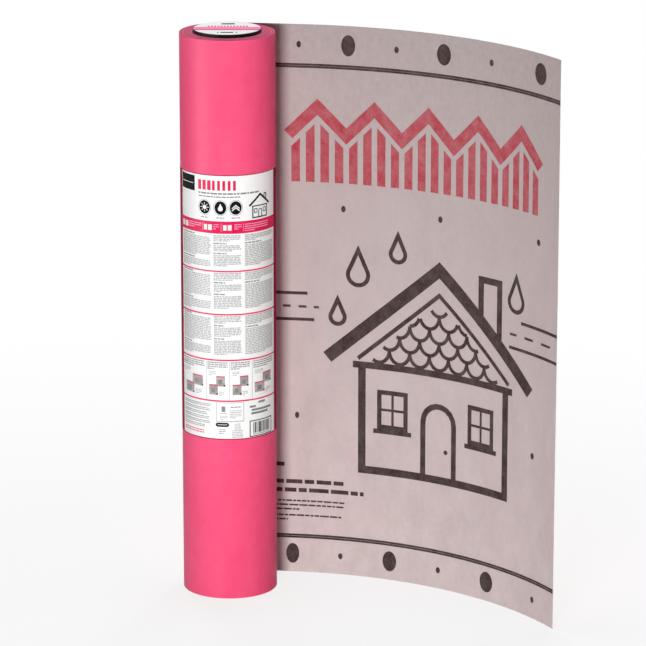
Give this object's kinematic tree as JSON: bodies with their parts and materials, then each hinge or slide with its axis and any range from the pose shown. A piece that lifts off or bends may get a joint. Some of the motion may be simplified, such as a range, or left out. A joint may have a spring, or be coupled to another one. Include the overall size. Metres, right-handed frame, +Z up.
{
  "type": "roll of roofing felt",
  "caption": "Upright roll of roofing felt with its free end unrolled behind it, a flanged plug in the top of its bore and paper labels on the plug and round the front.",
  "frame": {"origin": "centre of the roll's foot, where its axis meets the floor", "axes": "+Z up along the roll's axis, -Y to the front where the label is, +X to the side that the free end runs to"},
  "size_m": [0.6868, 0.346, 1.0735],
  "materials": {
    "felt": "satin woven web, pink outside and grey inside",
    "plug": "moulded black",
    "paper": "printed, semi-gloss"
  },
  "bodies": {
    "root": {"felt_roll": "felt", "end_plug": "plug", "end_label": "paper", "wrap_label": "paper"}
  },
  "joints": []
}
